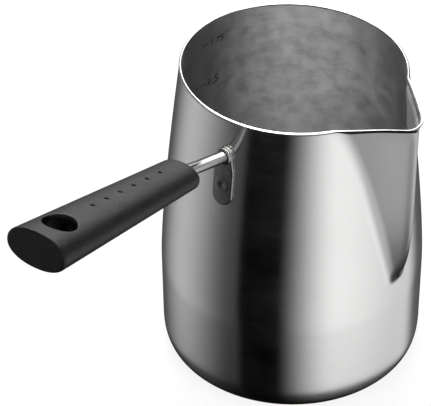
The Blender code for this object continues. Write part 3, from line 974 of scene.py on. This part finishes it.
def steel_outside():
    """Satin-polished sheet: fine rings of grain, slight cloudiness in the polish, faint scuffs, and painted
    shade on the spout's flanks.
    """
    material, shader, n = new_material("steel_outside")
    place = n.place()
    grain = n.noise(n.turned_place(14.0, 5200.0), 1.0, 3.0, 0.6)
    broad = n.noise(n.turned_place(5.0, 420.0), 1.0, 3.0, 0.55)
    cloud = n.noise(place, 38.0, 4.0, 0.55)
    scuff = n.ranged(n.noise(n.turned_place(26.0, 1500.0), 1.0, 2.0), 0.66, 0.74, 0.0, 1.0)
    tone = n.math("ADD", n.ranged(cloud, 0.3, 0.7, -0.012, 0.012), n.ranged(grain, 0.3, 0.7, -0.012, 0.012))
    # Painted shade: the steel's colour is darkened on the spout's flanks through the "pressed" mask.
    pressed = n.add("ShaderNodeAttribute", attribute_name="pressed").outputs["Fac"]
    kept = n.math("SUBTRACT", 1.0, n.math("MULTIPLY", pressed, FLANK_PAINTED_SHADE))
    tone = n.math("MULTIPLY", n.math("ADD", tone, OUTSIDE_TONE), kept)
    n.tinted(tone, (1.0, 0.998, 0.992), shader.inputs["Base Color"])
    rough = n.math("ADD", n.ranged(cloud, 0.3, 0.7, 0.135, 0.175), n.ranged(broad, 0.3, 0.7, -0.012, 0.012))
    rough = n.math("ADD", rough, n.math("MULTIPLY", scuff, 0.05))
    n.link(rough, shader.inputs["Roughness"])
    shader.inputs["Metallic"].default_value = 1.0
    ring_grain(n, shader, 0.5)
    normal = n.bump(broad, 0.004 * MM, 0.35)
    n.link(n.bump(grain, 0.0012 * MM, 0.5, normal), shader.inputs["Normal"])
    return material


def steel_inside():
    """Blasted inside: dull, faintly cloudy, with fine grain and a few long scratches."""
    material, shader, n = new_material("steel_inside")
    place = n.place()
    cloud = n.noise(place, 130.0, 5.0, 0.62)
    fine = n.noise(place, 2600.0, 2.0, 0.5)
    turned = n.noise(n.turned_place(9.0, 900.0), 1.0, 3.0, 0.6)
    grain = n.ranged(turned, 0.3, 0.7, -0.015, 0.015)
    tone = n.math("ADD", n.ranged(cloud, 0.35, 0.65, 0.25, 0.305), grain)
    n.tinted(tone, (1.0, 0.998, 0.994), shader.inputs["Base Color"])
    n.link(n.ranged(cloud, 0.3, 0.7, 0.46, 0.56), shader.inputs["Roughness"])
    shader.inputs["Metallic"].default_value = 1.0
    ring_grain(n, shader, 0.85)
    normal = n.bump(turned, 0.01 * MM, 0.3)
    n.link(n.bump(fine, 0.006 * MM, 0.4, normal), shader.inputs["Normal"])
    return material


def steel_lip():
    """The buffed edge of the sheet."""
    material, shader, n = new_material("steel_lip")
    place = n.place()
    cloud = n.noise(place, 300.0, 3.0)
    n.link(n.ramp(cloud, ((0.3, 0.50), (0.7, 0.60))), shader.inputs["Base Color"])
    n.link(n.ranged(cloud, 0.3, 0.7, 0.16, 0.24), shader.inputs["Roughness"])
    shader.inputs["Metallic"].default_value = 1.0
    n.link(n.bump(n.noise(n.turned_place(60.0, 3000.0), 1.0), 0.004 * MM, 0.3), shader.inputs["Normal"])
    return material


def etched_mark():
    """Dark etched scale marks, a little uneven."""
    material, shader, n = new_material("etched_mark")
    wear = n.noise(n.place(), 900.0, 3.0)
    n.link(n.ramp(wear, ((0.35, 0.05), (0.7, 0.11))), shader.inputs["Base Color"])
    n.link(n.ranged(wear, 0.3, 0.7, 0.55, 0.7), shader.inputs["Roughness"])
    shader.inputs["Metallic"].default_value = 0.4
    return material


def rod_polish():
    """Bright drawn rod with faint lengthwise lines."""
    material, shader, n = new_material("rod_polish")
    lines = n.noise(n.scaled(n.place(), (3000.0, 60.0, 3000.0)), 1.0, 2.0)
    blotch = n.noise(n.place(), 260.0, 3.0)
    n.link(n.ramp(blotch, ((0.3, 0.38), (0.7, 0.47))), shader.inputs["Base Color"])
    n.link(n.ranged(blotch, 0.3, 0.7, 0.12, 0.2), shader.inputs["Roughness"])
    shader.inputs["Metallic"].default_value = 1.0
    n.link(n.bump(lines, 0.003 * MM, 0.4), shader.inputs["Normal"])
    return material


def plate_satin():
    """Pressed plate: duller than the wall, darker round the spot weld."""
    material, shader, n = new_material("plate_satin")
    place = n.place()
    centre = plate_point(0.0, WELD_DEPTH, GAP + PLATE_SHEET)
    offset = n.add("ShaderNodeVectorMath", operation="DISTANCE")
    n.link(place, offset.inputs[0])
    offset.inputs[1].default_value = centre
    distance = offset.outputs["Value"]
    blotch = n.noise(place, 420.0, 4.0, 0.6)
    rings = n.math("SINE", n.math("MULTIPLY", distance, 2.0 * math.pi / (1.1 * MM)))
    near = n.ranged(distance, 0.0, 6.0 * MM, 1.0, 0.0, smooth=True)
    heat = n.math("MULTIPLY", near, n.ranged(rings, -1.0, 1.0, 0.05, 0.16))
    tone = n.math("SUBTRACT", n.ranged(blotch, 0.3, 0.7, 0.24, 0.32), heat)
    n.tinted(tone, (1.0, 0.99, 0.98), shader.inputs["Base Color"])
    rough = n.math("ADD", n.ranged(blotch, 0.3, 0.7, 0.2, 0.3), n.math("MULTIPLY", near, 0.1))
    n.link(rough, shader.inputs["Roughness"])
    shader.inputs["Metallic"].default_value = 1.0
    normal = n.bump(n.math("MULTIPLY", rings, near), 0.02 * MM, 0.5)
    n.link(n.bump(blotch, 0.02 * MM, 0.4, normal), shader.inputs["Normal"])
    return material


def weld_metal():
    """Frozen weld pool: dull, mottled, slightly heat tinted."""
    material, shader, n = new_material("weld_metal")
    mottle = n.noise(n.place(), 1400.0, 4.0, 0.6)
    ramp = n.add("ShaderNodeValToRGB")
    ramp.color_ramp.elements[0].position = 0.35
    ramp.color_ramp.elements[0].color = (0.30, 0.29, 0.28, 1.0)
    ramp.color_ramp.elements[1].position = 0.65
    ramp.color_ramp.elements[1].color = (0.46, 0.46, 0.455, 1.0)
    n.link(mottle, ramp.inputs["Fac"])
    n.link(ramp.outputs["Color"], shader.inputs["Base Color"])
    n.link(n.ranged(mottle, 0.3, 0.7, 0.22, 0.4), shader.inputs["Roughness"])
    shader.inputs["Metallic"].default_value = 1.0
    n.link(n.bump(mottle, 0.04 * MM, 0.5), shader.inputs["Normal"])
    return material


def grip_plastic():
    """Moulded black phenolic: pebbled grain, dusty highlights, edges polished by handling and painted
    lighter as an edge highlight.
    """
    material, shader, n = new_material("grip_plastic")
    place = n.place()
    pebble = n.noise(place, 1300.0, 3.0, 0.75)
    cloud = n.noise(place, 70.0, 4.0, 0.55)
    edge = n.add("ShaderNodeNewGeometry").outputs["Pointiness"]
    edge_wear_and_highlight = n.ranged(edge, 0.52, 0.60, 0.0, 1.0, smooth=True)
    tone = n.math("ADD", n.ranged(cloud, 0.3, 0.7, 0.002, 0.004), n.ranged(pebble, 0.38, 0.62, 0.0, 0.011))
    # Painted highlight: the convex edges are made lighter in colour; the lower roughness there is the
    # polish of handling.
    tone = n.math("ADD", tone, n.math("MULTIPLY", edge_wear_and_highlight, 0.02))
    n.tinted(tone, (1.0, 1.0, 1.02), shader.inputs["Base Color"])
    rough = n.math("ADD", n.ranged(cloud, 0.3, 0.7, 0.36, 0.44), n.ranged(pebble, 0.35, 0.65, 0.09, -0.09))
    n.link(n.math("SUBTRACT", rough, n.math("MULTIPLY", edge_wear_and_highlight, 0.1)), shader.inputs["Roughness"])
    shader.inputs["Specular IOR Level"].default_value = 0.30
    n.link(n.bump(pebble, 0.3 * MM, 0.6), shader.inputs["Normal"])
    return material


def black_zinc():
    """Blackened plating on the screw and its washer, a little mottled."""
    material, shader, n = new_material("black_zinc")
    mottle = n.noise(n.place(), 1100.0, 4.0, 0.6)
    n.link(n.ramp(mottle, ((0.35, 0.07), (0.7, 0.16))), shader.inputs["Base Color"])
    n.link(n.ranged(mottle, 0.3, 0.7, 0.32, 0.45), shader.inputs["Roughness"])
    shader.inputs["Metallic"].default_value = 1.0
    n.link(n.bump(mottle, 0.02 * MM, 0.4), shader.inputs["Normal"])
    return material


def finish_cad_node(name, material):
    """Gives a CAD node that stays its finish and a small bevel on its edges."""
    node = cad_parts[name]
    if not node.material_slots:
        node.data.materials.append(material)
    for slot in node.material_slots:
        slot.material = material
    weld = node.modifiers.new("weld", "WELD")
    weld.merge_threshold = 0.01 * MM
    bevel = node.modifiers.new("bevel", "BEVEL")
    bevel.width = 0.12 * MM
    bevel.segments = 3
    bevel.limit_method = "ANGLE"
    bevel.angle_limit = math.radians(40.0)


# ---------------------------------------------------------------- studio

# The studio as the steel sees it, level with the horizon and below: a strip box at the left, a
# black flag left of centre and a wide box at the right. Each pair is (degrees from the camera,
# brightness), left negative, and the light eases from one pair to the next.
ROUND_LIGHT = (
    (-180.0, 0.05), (-158.0, 0.10), (-112.0, 0.64), (-54.0, 0.08), (-45.0, 0.0), (-16.0, 0.0),
    (37.0, 1.28), (116.0, 0.88), (141.0, 0.12), (180.0, 0.05),
)

# The same light fades towards the floor: (sine of the elevation, share).
LOW_LIGHT = ((-1.0, 0.01), (-0.77, 0.10), (-0.665, 1.0))

# A band just above the horizon, which gives the grip its sheen, and one overhead.
MIDDLE_LIGHT = (
    (-180.0, 1.5), (-155.0, 1.1), (-135.0, 0.12), (-70.0, 0.1), (-20.0, 0.9), (30.0, 0.9),
    (70.0, 0.2), (140.0, 0.12), (158.0, 1.1), (180.0, 1.5),
)
HIGH_LIGHT = (
    (-180.0, 1.8), (-152.0, 1.2), (-130.0, 0.06), (-70.0, 0.3), (45.0, 0.3), (60.0, 0.06),
    (130.0, 0.06), (152.0, 1.2), (180.0, 1.8),
)


def build_world():
    """A white backdrop for the camera, and for the object a studio that changes round the horizon."""
    world = bpy.data.worlds.new("studio")
    bpy.context.scene.world = world
    world.use_nodes = True
    n = Nodes(world.node_tree)
    background = world.node_tree.nodes["Background"]
    turned = n.add("ShaderNodeVectorRotate", rotation_type="Z_AXIS")
    n.link(n.add("ShaderNodeTexCoord").outputs["Generated"], turned.inputs["Vector"])
    turned.inputs["Angle"].default_value = math.pi / 2.0 - CAMERA_AZIMUTH
    way = n.add("ShaderNodeSeparateXYZ")
    n.link(turned.outputs[0], way.inputs[0])
    x, y, z = way.outputs
    azimuth = n.math("ARCTAN2", y, x)
    share = n.ranged(azimuth, -math.pi, math.pi, 0.0, 1.0)
    floor_edge = n.ramp(share, ((0.0, 0.955), (0.33, 0.96), (0.42, 0.995), (1.0, 0.998)))

    def ring(lights):
        return n.ramp(share, [(degrees / 360.0 + 0.5, light / 2.0) for degrees, light in lights], "EASE")

    below = n.ramp(n.math("ADD", z, floor_edge), [(sine + 1.0, light) for sine, light in LOW_LIGHT], "EASE")
    above = n.ranged(z, -0.12, 0.12, 0.0, 1.0, smooth=True)
    overhead = n.ranged(z, 0.52, 0.66, 0.0, 1.0, smooth=True)
    low = n.math("MULTIPLY", n.math("MULTIPLY", ring(ROUND_LIGHT), below), 2.0)
    high = n.math("MULTIPLY", n.math("MULTIPLY", ring(HIGH_LIGHT), 2.0), overhead)
    middle = n.math("MULTIPLY", ring(MIDDLE_LIGHT), 2.0)
    side = n.math("ADD", high, n.math("MULTIPLY", middle, n.math("SUBTRACT", 1.0, overhead)))
    sky = n.add("ShaderNodeMix", data_type="FLOAT")
    n.link(above, sky.inputs[0])
    n.link(low, sky.inputs[2])
    n.link(side, sky.inputs[3])
    seen = n.add("ShaderNodeMix", data_type="FLOAT")
    n.link(n.add("ShaderNodeLightPath").outputs["Is Camera Ray"], seen.inputs[0])
    n.link(sky.outputs[0], seen.inputs[2])
    seen.inputs[3].default_value = 1.0
    n.link(seen.outputs[0], background.inputs["Color"])
    background.inputs["Strength"].default_value = 1.0


def build_floor():
    """A plain pale floor, seen by the camera alone and clear from below."""
    bm = bmesh.new()
    bmesh.ops.create_grid(bm, x_segments=8, y_segments=8, size=6.0)
    mesh = bpy.data.meshes.new("floor")
    bm.to_mesh(mesh)
    bm.free()
    floor = bpy.data.objects.new("floor", mesh)
    floor.location = (0.0, 0.0, pot_low.z)
    bpy.context.scene.collection.objects.link(floor)
    material, shader, n = new_material("floor_paper")
    fibre = n.noise(n.place(), 900.0, 2.0)
    n.link(n.ramp(fibre, ((0.3, 0.19), (0.7, 0.20))), shader.inputs["Base Color"])
    shader.inputs["Roughness"].default_value = 0.95
    shader.inputs["Specular IOR Level"].default_value = 0.0
    shader.inputs["Emission Color"].default_value = (1.0, 1.0, 1.0, 1.0)
    shader.inputs["Emission Strength"].default_value = 0.86
    clear = n.add("ShaderNodeBsdfTransparent")
    shown = n.add("ShaderNodeMixShader")
    n.link(n.add("ShaderNodeNewGeometry").outputs["Backfacing"], shown.inputs[0])
    n.link(shader.outputs[0], shown.inputs[1])
    n.link(clear.outputs[0], shown.inputs[2])
    n.link(shown.outputs[0], material.node_tree.nodes["Material Output"].inputs["Surface"])
    mesh.materials.append(material)
    for ray in ("diffuse", "glossy", "transmission", "shadow"):
        setattr(floor, "visible_" + ray, False)


def way_out(azimuth, elevation):
    """Unit vector away from the pot, in radians; azimuth is from the camera, right positive."""
    turn = CAMERA_AZIMUTH - math.pi / 2.0 + azimuth
    level = math.cos(elevation)
    return Vector((math.cos(turn) * level, math.sin(turn) * level, math.sin(elevation)))


def add_softbox(name, azimuth, elevation, distance, size, power):
    """A rectangular soft light aimed at the pot's middle, placed in degrees from the camera."""
    data = bpy.data.lights.new(name, "AREA")
    data.shape = "RECTANGLE"
    data.size, data.size_y = size
    data.energy = power
    light = bpy.data.objects.new(name, data)
    back = way_out(math.radians(azimuth), math.radians(elevation))
    middle = (cad_bounds[0] + cad_bounds[1]) / 2.0
    light.location = middle + back * distance
    light.rotation_mode = "QUATERNION"
    light.rotation_quaternion = back.to_track_quat("Z", "Y")
    bpy.context.scene.collection.objects.link(light)
    return light


def build_camera():
    """The camera at the viewing angle, with a long lens and a slight roll."""
    data = bpy.data.cameras.new("camera")
    data.sensor_width = 36.0
    data.lens = CAMERA_LENS
    camera = bpy.data.objects.new("camera", data)
    back = way_out(0.0, CAMERA_ELEVATION)
    camera.location = CAMERA_TARGET + back * CAMERA_DISTANCE
    camera.rotation_mode = "QUATERNION"
    roll = Matrix.Rotation(-CAMERA_ROLL, 4, "Z").to_quaternion()
    camera.rotation_quaternion = back.to_track_quat("Z", "Y") @ roll
    bpy.context.scene.collection.objects.link(camera)
    bpy.context.scene.camera = camera


def light_only(light, piece):
    """Keeps a light for one piece, as flags on stands would."""
    receivers = bpy.data.collections.new(light.name + "_piece")
    receivers.objects.link(piece)
    light.light_linking.receiver_collection = receivers


def build_studio(shell):
    """The world, the floor, a softbox behind and three that fill the inside of the shell."""
    bpy.context.scene.view_settings.view_transform = "Standard"
    build_world()
    build_floor()
    add_softbox("overhead", 175.0, 50.0, 1.2, (0.8, 0.5), 10.0)
    for side in (-1.0, 0.0, 1.0):
        fill = add_softbox("inside_fill", -24.0 + 50.0 * side, 56.0, 0.75, (0.72, 0.6), 6.2)
        light_only(fill, shell)
    build_camera()


def main():
    """Builds every piece, then the studio."""
    shell = build_shell(steel_outside(), steel_inside(), steel_lip())
    build_marks(etched_mark())
    build_neck_rod(rod_polish())
    build_neck_weld(weld_metal())
    build_bracket(plate_satin())
    build_grip(grip_plastic())
    fixing = black_zinc()
    finish_cad_node("screw_washer", fixing)
    finish_cad_node("grip_screw", fixing)
    build_studio(shell)


main()
